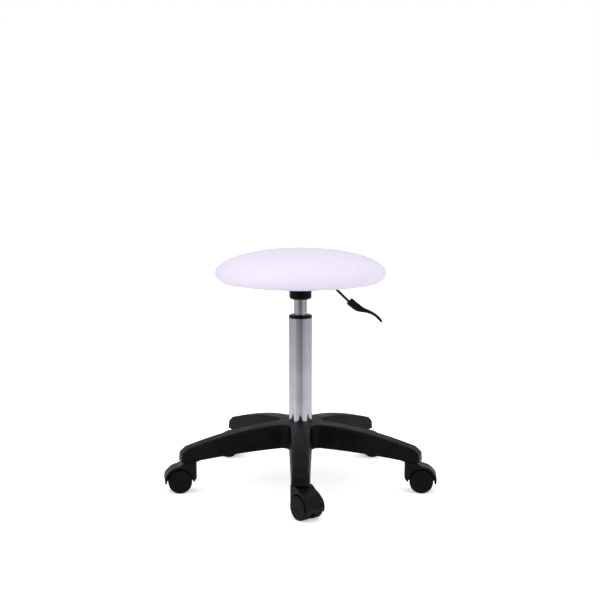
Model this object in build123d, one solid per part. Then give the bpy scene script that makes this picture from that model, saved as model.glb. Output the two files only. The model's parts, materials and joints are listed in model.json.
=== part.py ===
"""Dentist stool: a round padded seat on a gas-lift column and a five-star base with twin-wheel casters.

Millimetres, +Z up, origin on the column's axis at the floor. The front arm points along -Y and the
release lever towards +X. The seat is at its lowest.
"""

import os
from math import cos, radians, sin, sqrt, tan

from build123d import *

# ---------------------------------------------------------------- casters
CASTER_NAMES = ["front", "right", "back_right", "back_left", "left"]
CASTER_TRAIL_DEG = [306.0, 355.0, 12.0, 168.0, 189.0]  # direction from each stem to its wheels
WHEEL_RADIUS = 25.0
WHEEL_OFFSET = 20.0  # wheel axle behind the stem
WHEEL_WIDTH = 19.0
WHEEL_GAP = 0.5
WHEEL_EDGE = 3.5
WHEEL_WALL = 3.5
AXLE_RADIUS = 3.0
AXLE_LENGTH = 37.0
RIM_GAP = 2.2  # between the wheel's tread and the hood
HOOD_WALL = 4.6
HOOD_HALF_WIDTH = 20.0
HOOD_NECK = 11.8  # flat top above the wheel pockets
HOOD_NOSE = 15.5  # reach in front of the stem
HOOD_NOSE_RADIUS = 13.0
HOOD_EDGE = 2.5
HOOD_TAIL_DEG = -11.0
WEB_HALF_THICKNESS = 4.0
AXLE_BOSS_RADIUS = 8.5
STEM_RADIUS = 5.5
STEM_FOOT_RADIUS = 5.0
STEM_FOOT_LENGTH = 14.0
STEM_LENGTH = 22.0
COLLAR_RADIUS = 8.0
COLLAR_HEIGHT = 1.7
GRIP_RING_HEIGHT = 3.0
GRIP_RING_DEPTH = 0.8

# ---------------------------------------------------------------- five-star base
ARM_COUNT = 5
FRONT_ARM_DEG = 270.0
ARM_REACH = 265.4
STEM_INSET = 19.4  # stem's axis inside the arm's end
HUB_HEIGHT = 65.0  # top of the hub above the feet of the arms
HUB_HOLLOW = 14.0  # underside of the hub above the feet of the arms
HUB_RADIUS = 34.0
ARM_DROP = 0.1413 * ARM_REACH  # fall of the arm's top from the hub to its nose
ARM_DROP_START = 50.0  # radius where the fall begins
ARM_DROP_POWER = 1.68
ARM_NOSE = 13.0  # length of the sloping nose above the arm's end
ARM_NOSE_DROP = 11.5
ARM_ROOT_HALF_WIDTH = 27.3  # taken to the column's axis
ARM_TIP_HALF_WIDTH = 18.3
ARM_DRAFT_DEG = 4.5
ARM_CROTCH_RADIUS = 15.0
ARM_END_RADIUS = 8.0
ARM_SHOULDER = 5.0
ARM_WALL = 4.0
TIP_BLOCK = 34.0  # solid length at the arm's tip
RIB_THICKNESS = 3.0
RIB_RECESS = 2.0
CROSS_RIBS = 4

# ---------------------------------------------------------------- gas-lift column
TUBE_RADIUS = 25.0
TUBE_WALL = 1.5
TUBE_ROLL = 10.0  # lip rolled in under the end plate
LIP_DEPTH = 3.0  # tube below its end plate
TUBE_EXPOSED = 226.0  # length above the hub
TUBE_FOOT = 4.0  # reach below the hub
HUB_TAPER_DEG = 1.0
BUSH_DEPTH = 70.0  # length of the guide bush inside the tube
BUSH_FLANGE = 7.0
BUSH_ROUND = 4.0
CYLINDER_RADIUS = 14.0
CYLINDER_WALL = 2.0
CYLINDER_SHOWING = 33.0  # between the bush and the seat's cap at the lowest
NECK_LENGTH = 23.0
NECK_TAPER_DEG = 1.4
NECK_ROOF = 14.0  # solid top of the cylinder round the release pin
ROD_RADIUS = 5.0
ROD_NECK_RADIUS = 4.0
PISTON_THICKNESS = 10.0
LIFT_STROKE = 130.0
END_PLATE = 4.0
CLIP_THICKNESS = 1.2
CLIP_RADIUS = 8.0
RACE_THICKNESS = 2.5
RACE_RADIUS = 14.0
BALL_RADIUS = 2.5
BALL_PITCH_RADIUS = 9.5
BALL_COUNT = 9
BUMPER_HEIGHT = 9.7
BUMPER_RADIUS = 12.0
GUIDE_HEIGHT = 12.0
SEAL_HEIGHT = 6.0
CRIMP = 2.0
VALVE_HEIGHT = 20.0

# ---------------------------------------------------------------- release lever
PIN_RADIUS = 4.0
PIN_LENGTH = 30.0
PIN_RISE = 3.7  # pin's head above the cylinder's neck
PIN_DOME = 1.5
PIN_GAP = 0.3  # free play between lever and pin
LEVER_AXIS_DROP = 7.4  # lever's line below the board's underside
LEVER_ROD_RADIUS = 3.0
PIVOT_X = 45.0
PIVOT_RADIUS = 3.0
LEVER_HUB_RADIUS = 4.8
LEVER_HUB_WIDTH = 14.0
LEVER_TAIL = 12.0  # reach past the column's axis
LEVER_BEND_X = 64.5
LEVER_BEND_RADIUS = 9.0
LEVER_DROP_DEG = 44.5
HANDLE_START_X = 102.4
HANDLE_GRIP = 20.0  # length of rod inside the handle
HANDLE_LENGTH = 81.5
HANDLE_SOCKET = 16.8  # height of the square socket
BLADE_WIDTH = 21.0
BLADE_THICKNESS = 5.6
BRACKET_LENGTH = 14.0
EAR_THICKNESS = 2.5
BRACKET_BASE = 1.5
SLOT_WIDTH = 10.0

# ---------------------------------------------------------------- seat mechanism
CAP_FLOOR = 2.0
CAP_WALL = 3.75
CAP_ROUND = 5.0
SOCKET_WALL = 6.0
DISH_DEPTH = 14.0
DISH_FLOOR_RADIUS = 54.0
DISH_RIM_RADIUS = 64.2
PLATE_THICKNESS = 2.5
PLATE_WIDTH = 148.0
PLATE_CORNER = 14.0
BOLT_SPACING = 120.0
BOLT_RADIUS = 3.0
BOLT_HEAD_RADIUS = 5.6
BOLT_HEAD_HEIGHT = 4.2
BOLT_LENGTH = 14.0
WASHER_RADIUS = 8.0
WASHER_THICKNESS = 1.6
TEE_WALL = 1.2
TEE_BARREL = 9.0
TEE_FLANGE_RADIUS = 9.5
TEE_FLANGE = 1.4

# ---------------------------------------------------------------- seat cushion
SEAT_RADIUS = 180.0
SEAT_CROWN = 51.8  # rise of the dome above its widest part
SEAT_LIP = 16.0  # drop of the rolled edge below the widest part
EDGE_ROLL = 20.0  # how far the edge rolls in, down to the board
DOME_POWER = 2.12
COVER_THICKNESS = 1.2
HEM_WIDTH = 22.0  # cover folded in under the board
BOARD_THICKNESS = 12.0
STAPLE_COUNT = 36
STAPLE_CROWN = 10.0
STAPLE_WIRE = 0.9

# ---------------------------------------------------------------- fits
RUNNING = 0.05  # radial clearance of a shaft in its bore
CLEAR = 0.3  # gap between faces that pass each other
LOOSE = 0.5
END_PLAY = 4.0  # piston above the rod seal at full lift

# ---------------------------------------------------------------- places that follow, from the floor up
RIM_GAP_RADIUS = WHEEL_RADIUS + RIM_GAP
HOOD_RADIUS = RIM_GAP_RADIUS + HOOD_WALL
HOOD_TOP_Z = WHEEL_RADIUS + RIM_GAP_RADIUS + HOOD_NECK
COLLAR_Z = HOOD_TOP_Z + CLEAR
ARM_FOOT_Z = COLLAR_Z + COLLAR_HEIGHT
GROOVE_Z = ARM_FOOT_Z + 0.6 * STEM_LENGTH
STEM_CIRCLE = ARM_REACH - STEM_INSET
HUB_TOP_Z = ARM_FOOT_Z + HUB_HEIGHT
HUB_BOTTOM_Z = ARM_FOOT_Z + HUB_HOLLOW
TUBE_TOP_Z = HUB_TOP_Z + TUBE_EXPOSED
TUBE_BOTTOM_Z = HUB_BOTTOM_Z - TUBE_FOOT
PLATE_TOP_Z = TUBE_BOTTOM_Z + LIP_DEPTH + END_PLATE
BALL_Z = PLATE_TOP_Z + RACE_THICKNESS + CLEAR + BALL_RADIUS
UPPER_RACE_Z = BALL_Z + BALL_RADIUS
SHOULDER_Z = UPPER_RACE_Z + RACE_THICKNESS
CYLINDER_BOTTOM_Z = SHOULDER_Z + BUMPER_HEIGHT + CLEAR
GUIDE_Z = CYLINDER_BOTTOM_Z + CRIMP
SEAL_TOP_Z = GUIDE_Z + GUIDE_HEIGHT + SEAL_HEIGHT
PISTON_Z = SEAL_TOP_Z + LIFT_STROKE + END_PLAY
CYLINDER_BORE = CYLINDER_RADIUS - CYLINDER_WALL
CAP_BOTTOM_Z = TUBE_TOP_Z + BUSH_FLANGE + CYLINDER_SHOWING
SOCKET_BOTTOM_Z = CAP_BOTTOM_Z + CAP_FLOOR
SOCKET_RADIUS = CYLINDER_RADIUS + SOCKET_WALL
CAP_RADIUS = SOCKET_RADIUS + CAP_WALL
NECK_TOP_Z = SOCKET_BOTTOM_Z + NECK_LENGTH
NECK_TOP_RADIUS = CYLINDER_RADIUS - NECK_LENGTH * tan(radians(NECK_TAPER_DEG))
CHAMBER_TOP_Z = NECK_TOP_Z - NECK_ROOF
PIN_TOP_Z = NECK_TOP_Z + PIN_RISE
LEVER_Z = PIN_TOP_Z + PIN_GAP + LEVER_ROD_RADIUS
BOARD_Z = LEVER_Z + LEVER_AXIS_DROP
DISH_FLOOR_Z = BOARD_Z - DISH_DEPTH
FLANGE_Z = BOARD_Z - PLATE_THICKNESS
SEAT_BOTTOM_Z = BOARD_Z - COVER_THICKNESS
SEAT_WAIST_Z = SEAT_BOTTOM_Z + SEAT_LIP
BOARD_RADIUS = SEAT_RADIUS - EDGE_ROLL
TEE_BARREL_RADIUS = BOLT_RADIUS + TEE_WALL

NODES = {}


def keep(name, shape):
    """Remember a finished node under its name."""
    NODES[name] = shape


def turned(points):
    """Solid of revolution about Z from a closed list of (radius, height) corners."""
    outline = Polyline(*[(r, 0, z) for r, z in points], close=True)
    return revolve(Plane.XZ * make_face(Plane.XZ.to_local_coords(outline)), Axis.Z, 360)


def ring(inner, outer, bottom, top):
    """Plain washer or tube between two heights."""
    body = Pos(0, 0, bottom) * extrude(Circle(outer), top - bottom)
    if inner > 0:
        body -= Pos(0, 0, bottom - 1) * extrude(Circle(inner), top - bottom + 2)
    return body


def disc(radius, bottom, top):
    """Plain upright cylinder between two heights."""
    return Pos(0, 0, bottom) * extrude(Circle(radius), top - bottom)


def dome_arc(radius, edge, top):
    """Arc of a spherical dome, from the rim at (radius, edge) to the axis at (0, top)."""
    sphere = (radius**2 + (top - edge) ** 2) / (2 * (top - edge))
    middle = radius / 2
    return ThreePointArc((radius, edge), (middle, top - sphere + sqrt(sphere**2 - middle**2)), (0, top))


def tube_radius(z):
    """Outside radius of the column tube, tapered where it sits in the hub."""
    return TUBE_RADIUS - max(0.0, HUB_TOP_Z - z) * tan(radians(HUB_TAPER_DEG))


# ================================================================ five-star base
def star_outline(inset):
    """Plan of the five arms at the height of their feet, moved in by inset."""
    root = ARM_ROOT_HALF_WIDTH - inset
    tip = ARM_TIP_HALF_WIDTH - inset
    arm = make_face(
        Polyline(
            (0, -root),
            (ARM_REACH - inset, -tip),
            (ARM_REACH - inset, tip),
            (0, root),
            close=True,
        )
    )
    star = Circle(ARM_ROOT_HALF_WIDTH)
    for number in range(ARM_COUNT):
        star += Rot(0, 0, FRONT_ARM_DEG + number * 360 / ARM_COUNT) * arm
    crotch_reach = 1.6 * ARM_ROOT_HALF_WIDTH / sin(radians(180 / ARM_COUNT))
    crotches = [v for v in star.vertices() if Vector(*v).length < crotch_reach]
    star = fillet(crotches, ARM_CROTCH_RADIUS + inset)
    tips = [v for v in star.vertices() if Vector(*v).length > ARM_REACH - inset - 1]
    return fillet(tips, max(ARM_END_RADIUS - inset, 1.0))


def arm_envelope(inset):
    """Turned volume that gives the arms their curved top and sloping noses."""
    nose_start = ARM_REACH - ARM_NOSE - 1
    corners = [(0, 0, HUB_TOP_Z - inset), (ARM_DROP_START, 0, HUB_TOP_Z - inset)]
    for share in (0.25, 0.45, 0.7, 1.0):
        r = ARM_DROP_START + (nose_start - ARM_DROP_START) * share
        corners.append((r, 0, HUB_TOP_Z - inset - ARM_DROP * share**ARM_DROP_POWER))
    slope = ARM_DROP * ARM_DROP_POWER / (nose_start - ARM_DROP_START)
    top = Spline(*corners, tangents=[(1, 0, 0), (1, 0, -slope)])
    nose_end = ARM_REACH - 1 - inset
    nose_z = HUB_TOP_Z - inset - ARM_DROP - ARM_NOSE_DROP
    low = ARM_FOOT_Z - 20
    rest = Polyline(
        top @ 1,
        (nose_end, 0, nose_z),
        (nose_end + 4, 0, nose_z - 6),
        (nose_end + 4, 0, low),
        (0, 0, low),
        top @ 0,
    )
    between_arms = Rot(0, 0, FRONT_ARM_DEG + 180 / ARM_COUNT)
    return between_arms * revolve(make_face([top, rest]), Axis.Z, 360)


def underside_cut(raise_by):
    """Turned volume below the arms: the underside runs down from the hub to the tip."""
    start = HUB_RADIUS + 14
    end = ARM_REACH - TIP_BLOCK
    fall = HUB_HOLLOW - 0.5
    slope = Spline(
        (start, 0, HUB_BOTTOM_Z + 1.5 + raise_by),
        (start + 0.44 * (end - start), 0, HUB_BOTTOM_Z + 1.5 - 0.28 * fall + raise_by),
        (end - 3, 0, ARM_FOOT_Z + 2 + raise_by),
    )
    rest = Polyline(
        slope @ 1,
        (end + 1, 0, ARM_FOOT_Z),
        (end + 1, 0, ARM_FOOT_Z - 30),
        (0, 0, ARM_FOOT_Z - 30),
        (0, 0, HUB_BOTTOM_Z),
        (HUB_RADIUS, 0, HUB_BOTTOM_Z),
        slope @ 0,
    )
    return revolve(make_face([slope, rest]), Axis.Z, 360)


def star_prism(inset):
    """Upright drafted prism of the star plan."""
    plan = Pos(0, 0, ARM_FOOT_Z) * star_outline(inset)
    return extrude(plan, HUB_TOP_Z - ARM_FOOT_Z + 5, taper=ARM_DRAFT_DEG)


def rib_blocks():
    """Long and cross ribs of the arms, as plain blocks above the recessed underside."""
    height = HUB_TOP_Z
    ribs = None
    start = HUB_RADIUS + 12
    pitch = (ARM_REACH - TIP_BLOCK - start) / (CROSS_RIBS + 0.6)
    for number in range(ARM_COUNT):
        turn = Rot(0, 0, FRONT_ARM_DEG + number * 360 / ARM_COUNT)
        spine = turn * Pos(ARM_REACH / 2, 0, height / 2) * Box(ARM_REACH, RIB_THICKNESS, height)
        ribs = spine if ribs is None else ribs + spine
        for step in range(CROSS_RIBS):
            x = start + pitch * (step + 0.9)
            ribs += turn * Pos(x, 0, height / 2) * Box(RIB_THICKNESS, 2 * ARM_ROOT_HALF_WIDTH, height)
    return ribs - underside_cut(RIB_RECESS)


def star_base():
    """Hollow moulded base: arms, hub with tapered socket, and a stem socket in each tip."""
    shell = (star_prism(0) & arm_envelope(0)).solids()[0]
    shoulders = [edge for edge in shell.edges() if edge.bounding_box().min.Z > ARM_FOOT_Z + 8]
    shell = Part() + shell.fillet(ARM_SHOULDER, shoulders)
    hollow = star_prism(ARM_WALL) & arm_envelope(ARM_WALL)
    hollow -= disc(HUB_RADIUS, 0, HUB_TOP_Z)
    hollow -= ring(ARM_REACH - TIP_BLOCK, ARM_REACH + 50, 0, HUB_TOP_Z)
    hollow -= rib_blocks()
    shell -= hollow
    shell -= underside_cut(0)
    shell -= turned(
        [
            (0, HUB_BOTTOM_Z - 40),
            (tube_radius(HUB_BOTTOM_Z - 40), HUB_BOTTOM_Z - 40),
            (TUBE_RADIUS, HUB_TOP_Z),
            (TUBE_RADIUS, HUB_TOP_Z + 10),
            (0, HUB_TOP_Z + 10),
        ]
    )
    for place in stem_places():
        shell -= place * disc(STEM_RADIUS, ARM_FOOT_Z - 1, ARM_FOOT_Z + STEM_LENGTH + 1)
    return shell


def stem_places():
    """One place on each arm's tip, on the stem's axis."""
    for number in range(ARM_COUNT):
        yield Rot(0, 0, FRONT_ARM_DEG + number * 360 / ARM_COUNT) * Pos(STEM_CIRCLE, 0, 0)


# ================================================================ casters
def caster_stem():
    """Steel stem with a collar, a smaller foot and a groove for the grip ring."""
    top = ARM_FOOT_Z + STEM_LENGTH
    return turned(
        [
            (0, HOOD_TOP_Z - STEM_FOOT_LENGTH),
            (STEM_FOOT_RADIUS - 0.6, HOOD_TOP_Z - STEM_FOOT_LENGTH),
            (STEM_FOOT_RADIUS, HOOD_TOP_Z - STEM_FOOT_LENGTH + 0.6),
            (STEM_FOOT_RADIUS, COLLAR_Z),
            (COLLAR_RADIUS, COLLAR_Z),
            (COLLAR_RADIUS, ARM_FOOT_Z),
            (STEM_RADIUS, ARM_FOOT_Z),
            (STEM_RADIUS, GROOVE_Z),
            (STEM_RADIUS - GRIP_RING_DEPTH, GROOVE_Z),
            (STEM_RADIUS - GRIP_RING_DEPTH, GROOVE_Z + GRIP_RING_HEIGHT),
            (STEM_RADIUS, GROOVE_Z + GRIP_RING_HEIGHT),
            (STEM_RADIUS, top - 1),
            (STEM_RADIUS - 1, top),
            (0, top),
        ]
    )


def grip_ring():
    """Split spring ring that holds the stem in its socket."""
    body = ring(STEM_RADIUS - GRIP_RING_DEPTH, STEM_RADIUS, GROOVE_Z, GROOVE_Z + GRIP_RING_HEIGHT)
    return body - Pos(STEM_RADIUS, 0, GROOVE_Z + GRIP_RING_HEIGHT / 2) * Box(4, 1.5, GRIP_RING_HEIGHT + 1)


def caster_housing():
    """Hooded housing: a centre web, a fender over both wheels and a flat-topped neck for the stem.

    Stem on the Z axis, wheels towards +X.
    """
    x0 = WHEEL_OFFSET
    z0 = WHEEL_RADIUS
    tail = radians(HOOD_TAIL_DEG)
    tail_out = (x0 + (HOOD_RADIUS - 1.4) * cos(tail), z0 + (HOOD_RADIUS - 1.4) * sin(tail))
    tail_in = (x0 + RIM_GAP_RADIUS * cos(radians(-4)), z0 + RIM_GAP_RADIUS * sin(radians(-4)))
    shoulder_rise = HOOD_TOP_Z - z0
    crown_deg = 84.0
    crown = (x0 + HOOD_RADIUS * cos(radians(crown_deg)), z0 + HOOD_RADIUS * sin(radians(crown_deg)))
    rear = (x0 + HOOD_RADIUS * cos(radians(35)), z0 + HOOD_RADIUS * sin(radians(35)))
    over = (x0 + HOOD_RADIUS * cos(radians(60)), z0 + HOOD_RADIUS * sin(radians(60)))
    level = (x0 + HOOD_RADIUS, z0)
    with_nose = Polyline(
        crown,
        (x0 - 9, z0 + shoulder_rise),
        (-HOOD_NOSE, z0 + shoulder_rise),
        (-HOOD_NOSE, z0 + 7),
    )
    chin = RadiusArc((-HOOD_NOSE, z0 + 7), (x0 - RIM_GAP_RADIUS - 0.5, z0 - 1.5), -11)
    low_front = (x0 - AXLE_BOSS_RADIUS, z0 - 1.5)
    boss = ThreePointArc(low_front, (x0, z0 - AXLE_BOSS_RADIUS), (x0 + AXLE_BOSS_RADIUS, z0 - 1.5))
    outline = make_face(
        [
            with_nose,
            chin,
            Line(chin @ 1, low_front),
            boss,
            Line(boss @ 1, tail_in),
            Line(tail_in, tail_out),
            ThreePointArc(tail_out, level, rear),
            ThreePointArc(rear, over, crown),
        ]
    )
    body = extrude(Plane.XZ * outline, HOOD_HALF_WIDTH, both=True)
    plan = Pos(HOOD_RADIUS + WHEEL_OFFSET + 5, 0) * Rectangle(
        2 * (HOOD_RADIUS + WHEEL_OFFSET + 5 + HOOD_NOSE), 2 * HOOD_HALF_WIDTH
    )
    plan = fillet(plan.vertices().group_by(Axis.X)[0], HOOD_NOSE_RADIUS)
    body &= extrude(plan, HOOD_TOP_Z + 5)
    hood_edges = [
        edge
        for edge in body.edges()
        if abs(abs(edge.center().Y) - HOOD_HALF_WIDTH) < 0.01
        and edge.geom_type == GeomType.CIRCLE
        and edge.center().X > x0
        and abs(edge.radius - HOOD_RADIUS) < 0.1
    ]
    body = fillet(hood_edges, HOOD_EDGE)
    for side in (-1, 1):
        pocket = Rot(90, 0, 0) * extrude(Circle(RIM_GAP_RADIUS), 40)
        pocket = Pos(x0, side * WEB_HALF_THICKNESS + (40 if side > 0 else 0), z0) * pocket
        body -= pocket
    body -= Pos(0, 0, HOOD_TOP_Z - STEM_FOOT_LENGTH - LOOSE) * extrude(
        Circle(STEM_FOOT_RADIUS + RUNNING), STEM_FOOT_LENGTH + 5
    )
    body -= Pos(x0, HOOD_HALF_WIDTH + 5, z0) * Rot(90, 0, 0) * extrude(
        Circle(AXLE_RADIUS), 2 * HOOD_HALF_WIDTH + 10
    )
    return body


def caster_axle():
    """Steel axle pressed through the housing's web, along Y."""
    return Pos(WHEEL_OFFSET, AXLE_LENGTH / 2, WHEEL_RADIUS) * Rot(90, 0, 0) * extrude(
        Circle(AXLE_RADIUS), AXLE_LENGTH
    )


def caster_wheel(side):
    """Moulded wheel with a closed domed face outside and a ribbed hollow inside."""
    inner = WEB_HALF_THICKNESS + WHEEL_GAP
    outer = inner + WHEEL_WIDTH
    bore = AXLE_RADIUS + RUNNING
    floor = AXLE_LENGTH / 2 + LOOSE
    tread = WHEEL_RADIUS - 0.4
    rim = WHEEL_RADIUS - 0.3
    round_off = 0.3 * WHEEL_EDGE
    face = Polyline((0, floor), (bore, floor), (bore, inner), (8, inner), (8, outer - WHEEL_WALL - 1))
    hollow = Polyline(
        (8, outer - WHEEL_WALL - 1),
        (20.5, outer - WHEEL_WALL - 1.6),
        (20.5, inner),
        (tread, inner),
    )
    crown = ThreePointArc(
        (tread, inner), (WHEEL_RADIUS, (inner + outer) / 2), (rim, outer - WHEEL_EDGE)
    )
    edge = ThreePointArc(
        (rim, outer - WHEEL_EDGE),
        (rim - round_off, outer - round_off),
        (WHEEL_RADIUS - WHEEL_EDGE, outer - 0.4),
    )
    dome = dome_arc(WHEEL_RADIUS - WHEEL_EDGE, outer - 0.4, outer)
    profile = make_face([face, hollow, crown, edge, dome, Line((0, outer), (0, floor))])
    wheel = revolve(profile, Axis.Y, 360)
    for number in range(6):
        depth = outer - WHEEL_WALL - inner - 2
        spoke = Pos(14.2, inner + 2 + depth / 2, 0) * Box(13.4, depth, 2)
        wheel += Rot(0, number * 60, 0) * spoke
    if side < 0:
        wheel = mirror(wheel, Plane.XZ)
    return Pos(WHEEL_OFFSET, 0, WHEEL_RADIUS) * wheel


# ================================================================ gas-lift column
def outer_tube():
    """Steel tube, tapered in the hub, with its lower edge rolled in under the end plate."""
    plate_z = PLATE_TOP_Z - END_PLATE
    return turned(
        [
            (tube_radius(TUBE_BOTTOM_Z), TUBE_BOTTOM_Z),
            (TUBE_RADIUS, HUB_TOP_Z),
            (TUBE_RADIUS, TUBE_TOP_Z),
            (TUBE_RADIUS - TUBE_WALL, TUBE_TOP_Z),
            (TUBE_RADIUS - TUBE_WALL, HUB_TOP_Z),
            (tube_radius(plate_z) - TUBE_WALL, plate_z),
            (tube_radius(plate_z) - TUBE_ROLL, plate_z),
            (tube_radius(plate_z) - TUBE_ROLL, TUBE_BOTTOM_Z),
        ]
    )


def end_plate():
    """Steel disc that closes the tube's foot and carries the bearing."""
    low = PLATE_TOP_Z - END_PLATE
    return turned(
        [
            (ROD_NECK_RADIUS + CLEAR, low),
            (tube_radius(low) - TUBE_WALL, low),
            (tube_radius(PLATE_TOP_Z) - TUBE_WALL, PLATE_TOP_Z),
            (ROD_NECK_RADIUS + CLEAR, PLATE_TOP_Z),
        ]
    )


def guide_bush():
    """Plastic bush in the tube's mouth with a rounded flange on the rim."""
    bore = CYLINDER_RADIUS + RUNNING
    top = TUBE_TOP_Z + BUSH_FLANGE
    body = turned(
        [
            (bore, TUBE_TOP_Z - BUSH_DEPTH),
            (TUBE_RADIUS - TUBE_WALL, TUBE_TOP_Z - BUSH_DEPTH),
            (TUBE_RADIUS - TUBE_WALL, TUBE_TOP_Z),
            (TUBE_RADIUS, TUBE_TOP_Z),
            (TUBE_RADIUS, top),
            (bore, top),
        ]
    )
    rim = [e for e in body.edges().filter_by(GeomType.CIRCLE) if abs(e.center().Z - top) < 0.01]
    body = fillet([e for e in rim if e.radius > bore + 1], min(BUSH_ROUND, 0.6 * BUSH_FLANGE))
    mouth = [e for e in body.edges().filter_by(GeomType.CIRCLE) if abs(e.center().Z - top) < 0.01]
    return chamfer([e for e in mouth if e.radius < bore + 0.1], 1.5)


def piston_rod():
    """Polished rod with a stepped neck that stands on the thrust bearing."""
    top = PISTON_Z + PISTON_THICKNESS + 2
    neck_z = TUBE_BOTTOM_Z - 1
    return turned(
        [
            (0, neck_z),
            (ROD_NECK_RADIUS, neck_z),
            (ROD_NECK_RADIUS, SHOULDER_Z),
            (ROD_RADIUS, SHOULDER_Z),
            (ROD_RADIUS, PISTON_Z),
            (ROD_RADIUS - 1, PISTON_Z),
            (ROD_RADIUS - 1, top),
            (0, top),
        ]
    )


def bearing_balls():
    """Ring of loose balls, one solid each."""
    balls = []
    for number in range(BALL_COUNT):
        place = Rot(0, 0, number * 360 / BALL_COUNT) * Pos(BALL_PITCH_RADIUS, 0, BALL_Z)
        balls.append(place * Sphere(BALL_RADIUS))
    return Compound(children=[ball.solid() for ball in balls])


def gas_cylinder():
    """Chromed cylinder, rolled in at the foot and tapered at the neck, with a bore for the release pin."""
    pin_bore = PIN_RADIUS + RUNNING
    return turned(
        [
            (ROD_RADIUS + 3, CYLINDER_BOTTOM_Z),
            (CYLINDER_RADIUS - 1, CYLINDER_BOTTOM_Z),
            (CYLINDER_RADIUS, CYLINDER_BOTTOM_Z + 1),
            (CYLINDER_RADIUS, SOCKET_BOTTOM_Z),
            (NECK_TOP_RADIUS, NECK_TOP_Z),
            (pin_bore, NECK_TOP_Z),
            (pin_bore, CHAMBER_TOP_Z),
            (CYLINDER_BORE, CHAMBER_TOP_Z),
            (CYLINDER_BORE, GUIDE_Z),
            (ROD_RADIUS + 3, GUIDE_Z),
        ]
    )


def release_pin():
    """Valve pin with a domed head that the lever presses down."""
    foot = PIN_TOP_Z - PIN_LENGTH
    outline = make_face(
        [
            Polyline((0, PIN_TOP_Z), (0, foot), (PIN_RADIUS, foot), (PIN_RADIUS, PIN_TOP_Z - PIN_DOME)),
            dome_arc(PIN_RADIUS, PIN_TOP_Z - PIN_DOME, PIN_TOP_Z),
        ]
    )
    return revolve(Plane.XZ * outline, Axis.Z, 360)


# ================================================================ seat mechanism
def taper_socket():
    """Turned steel boss whose tapered bore grips the cylinder's neck."""
    return turned(
        [
            (CYLINDER_RADIUS, SOCKET_BOTTOM_Z),
            (SOCKET_RADIUS, SOCKET_BOTTOM_Z),
            (SOCKET_RADIUS, NECK_TOP_Z),
            (NECK_TOP_RADIUS, NECK_TOP_Z),
        ]
    )


def socket_cover():
    """Black cap over the socket, rounded at its lower edge."""
    top = DISH_FLOOR_Z - PLATE_THICKNESS
    body = ring(CYLINDER_RADIUS + CLEAR, CAP_RADIUS, CAP_BOTTOM_Z, top)
    lower = [
        e
        for e in body.edges().filter_by(GeomType.CIRCLE)
        if abs(e.center().Z - CAP_BOTTOM_Z) < 0.01 and e.radius > SOCKET_RADIUS
    ]
    body = fillet(lower, CAP_ROUND)
    return body - disc(SOCKET_RADIUS, SOCKET_BOTTOM_Z, top + 1)


def bolt_places():
    """The four bolts of the seat plate."""
    for x in (-1, 1):
        for y in (-1, 1):
            yield Pos(x * BOLT_SPACING / 2, y * BOLT_SPACING / 2, 0)


def seat_plate():
    """Pressed plate: a square flange round a dish that hangs below the board."""
    t = PLATE_THICKNESS
    square = RectangleRounded(PLATE_WIDTH, PLATE_WIDTH, PLATE_CORNER)
    body = Pos(0, 0, FLANGE_Z) * extrude(square - Circle(DISH_RIM_RADIUS + 2), t)
    body += turned(
        [
            (SOCKET_RADIUS, DISH_FLOOR_Z - t),
            (DISH_FLOOR_RADIUS + 1.5, DISH_FLOOR_Z - t),
            (DISH_RIM_RADIUS + 1.6, FLANGE_Z),
            (DISH_RIM_RADIUS + 3, FLANGE_Z),
            (DISH_RIM_RADIUS + 3, BOARD_Z),
            (DISH_RIM_RADIUS, BOARD_Z),
            (DISH_FLOOR_RADIUS, DISH_FLOOR_Z),
            (SOCKET_RADIUS, DISH_FLOOR_Z),
        ]
    )
    slot_low = DISH_FLOOR_Z + 1.0
    slot = Box(24, SLOT_WIDTH, FLANGE_Z - slot_low)
    body -= Pos(DISH_RIM_RADIUS - 1, 0, (slot_low + FLANGE_Z) / 2) * slot
    for place in bolt_places():
        body -= place * disc(BOLT_RADIUS + LOOSE, FLANGE_Z - 1, BOARD_Z + 1)
    return body


def lever_bracket():
    """Folded bracket on the dish floor that holds the lever's pivot pin."""
    gap = LEVER_HUB_WIDTH + 2 * LOOSE
    top = LEVER_Z + LEVER_HUB_RADIUS + 0.5
    width = gap + 2 * EAR_THICKNESS
    base = Pos(PIVOT_X, 0, DISH_FLOOR_Z + BRACKET_BASE / 2) * Box(BRACKET_LENGTH, width, BRACKET_BASE)
    for side in (-1, 1):
        ear = Box(BRACKET_LENGTH, EAR_THICKNESS, top - DISH_FLOOR_Z)
        base += Pos(PIVOT_X, side * (gap + EAR_THICKNESS) / 2, (top + DISH_FLOOR_Z) / 2) * ear
    return base - Pos(PIVOT_X, 20, LEVER_Z) * Rot(90, 0, 0) * extrude(Circle(PIVOT_RADIUS), 40)


def pivot_pin():
    """Pin across the bracket, with a head at one end."""
    half = LEVER_HUB_WIDTH / 2 + LOOSE + EAR_THICKNESS
    shank = Pos(PIVOT_X, half + 1.8, LEVER_Z) * Rot(90, 0, 0) * extrude(Circle(PIVOT_RADIUS), 2 * half + 1.8)
    head = Pos(PIVOT_X, -half, LEVER_Z) * Rot(90, 0, 0) * extrude(Circle(PIVOT_RADIUS + 1.8), 1.5)
    return shank + head


def pivot_clip():
    """Spring clip on the pin's plain end."""
    half = LEVER_HUB_WIDTH / 2 + LOOSE + EAR_THICKNESS
    body = extrude(Circle(PIVOT_RADIUS + 2.2) - Circle(PIVOT_RADIUS), 1.0)
    return Pos(PIVOT_X, half + 1.0, LEVER_Z) * Rot(90, 0, 0) * body


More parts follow.
